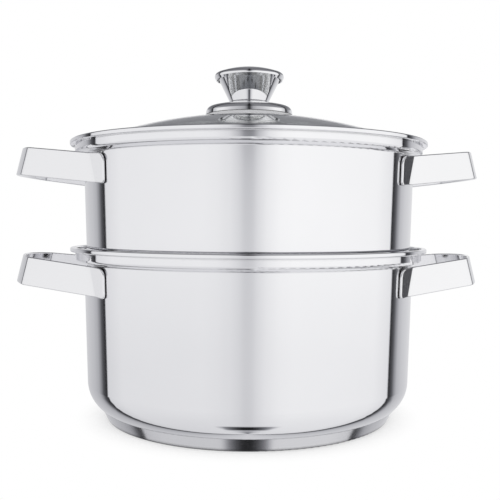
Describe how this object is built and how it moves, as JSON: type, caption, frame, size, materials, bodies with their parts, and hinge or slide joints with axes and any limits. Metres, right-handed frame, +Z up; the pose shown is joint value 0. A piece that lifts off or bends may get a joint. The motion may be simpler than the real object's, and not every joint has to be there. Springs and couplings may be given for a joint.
{
  "type": "steamer pot",
  "caption": "Round steel steamer pot with a perforated steamer tier nested in its rim, strap loop handles and a low domed glass lid with a cone knob.",
  "frame": {"origin": "centre of the base's underside, on the surface it stands on", "axes": "+Z up, the handles lie along X"},
  "size_m": [0.3408, 0.2626, 0.2589],
  "materials": {
    "satin_steel": "satin",
    "turned_steel": "fine circular brushing",
    "aluminium_core": "as rolled, sealed in",
    "handle_steel": "polished",
    "polished_steel": "mirror polished",
    "clear_glass": "clear",
    "silicone": "matte",
    "bush_metal": "turned",
    "fastener_steel": "plain"
  },
  "bodies": {
    "pot": {"pot_body": "satin_steel", "pot_base_cap": "turned_steel", "pot_base_core": "aluminium_core", "pot_handle_left": "handle_steel", "pot_handle_right": "handle_steel"},
    "steamer": {"steamer_body": "satin_steel", "steamer_handle_left": "handle_steel", "steamer_handle_right": "handle_steel"},
    "lid": {"lid_glass": "clear_glass", "lid_ring": "polished_steel", "vent_eyelet": "polished_steel", "knob_cap": "polished_steel", "knob_cone": "polished_steel", "knob_skirt": "polished_steel", "knob_gasket_top": "silicone", "knob_gasket_bottom": "silicone", "knob_spacer": "bush_metal", "knob_insert": "bush_metal", "knob_washer": "fastener_steel", "knob_screw": "fastener_steel"}
  },
  "joints": [
    {"name": "steamer_lift", "type": "slide", "parent": "pot", "child": "steamer", "axis": [0, 0, 1], "range_m": [0, 0.12]},
    {"name": "lid_lift", "type": "slide", "parent": "steamer", "child": "lid", "axis": [0, 0, 1], "range_m": [0, 0.1]}
  ]
}
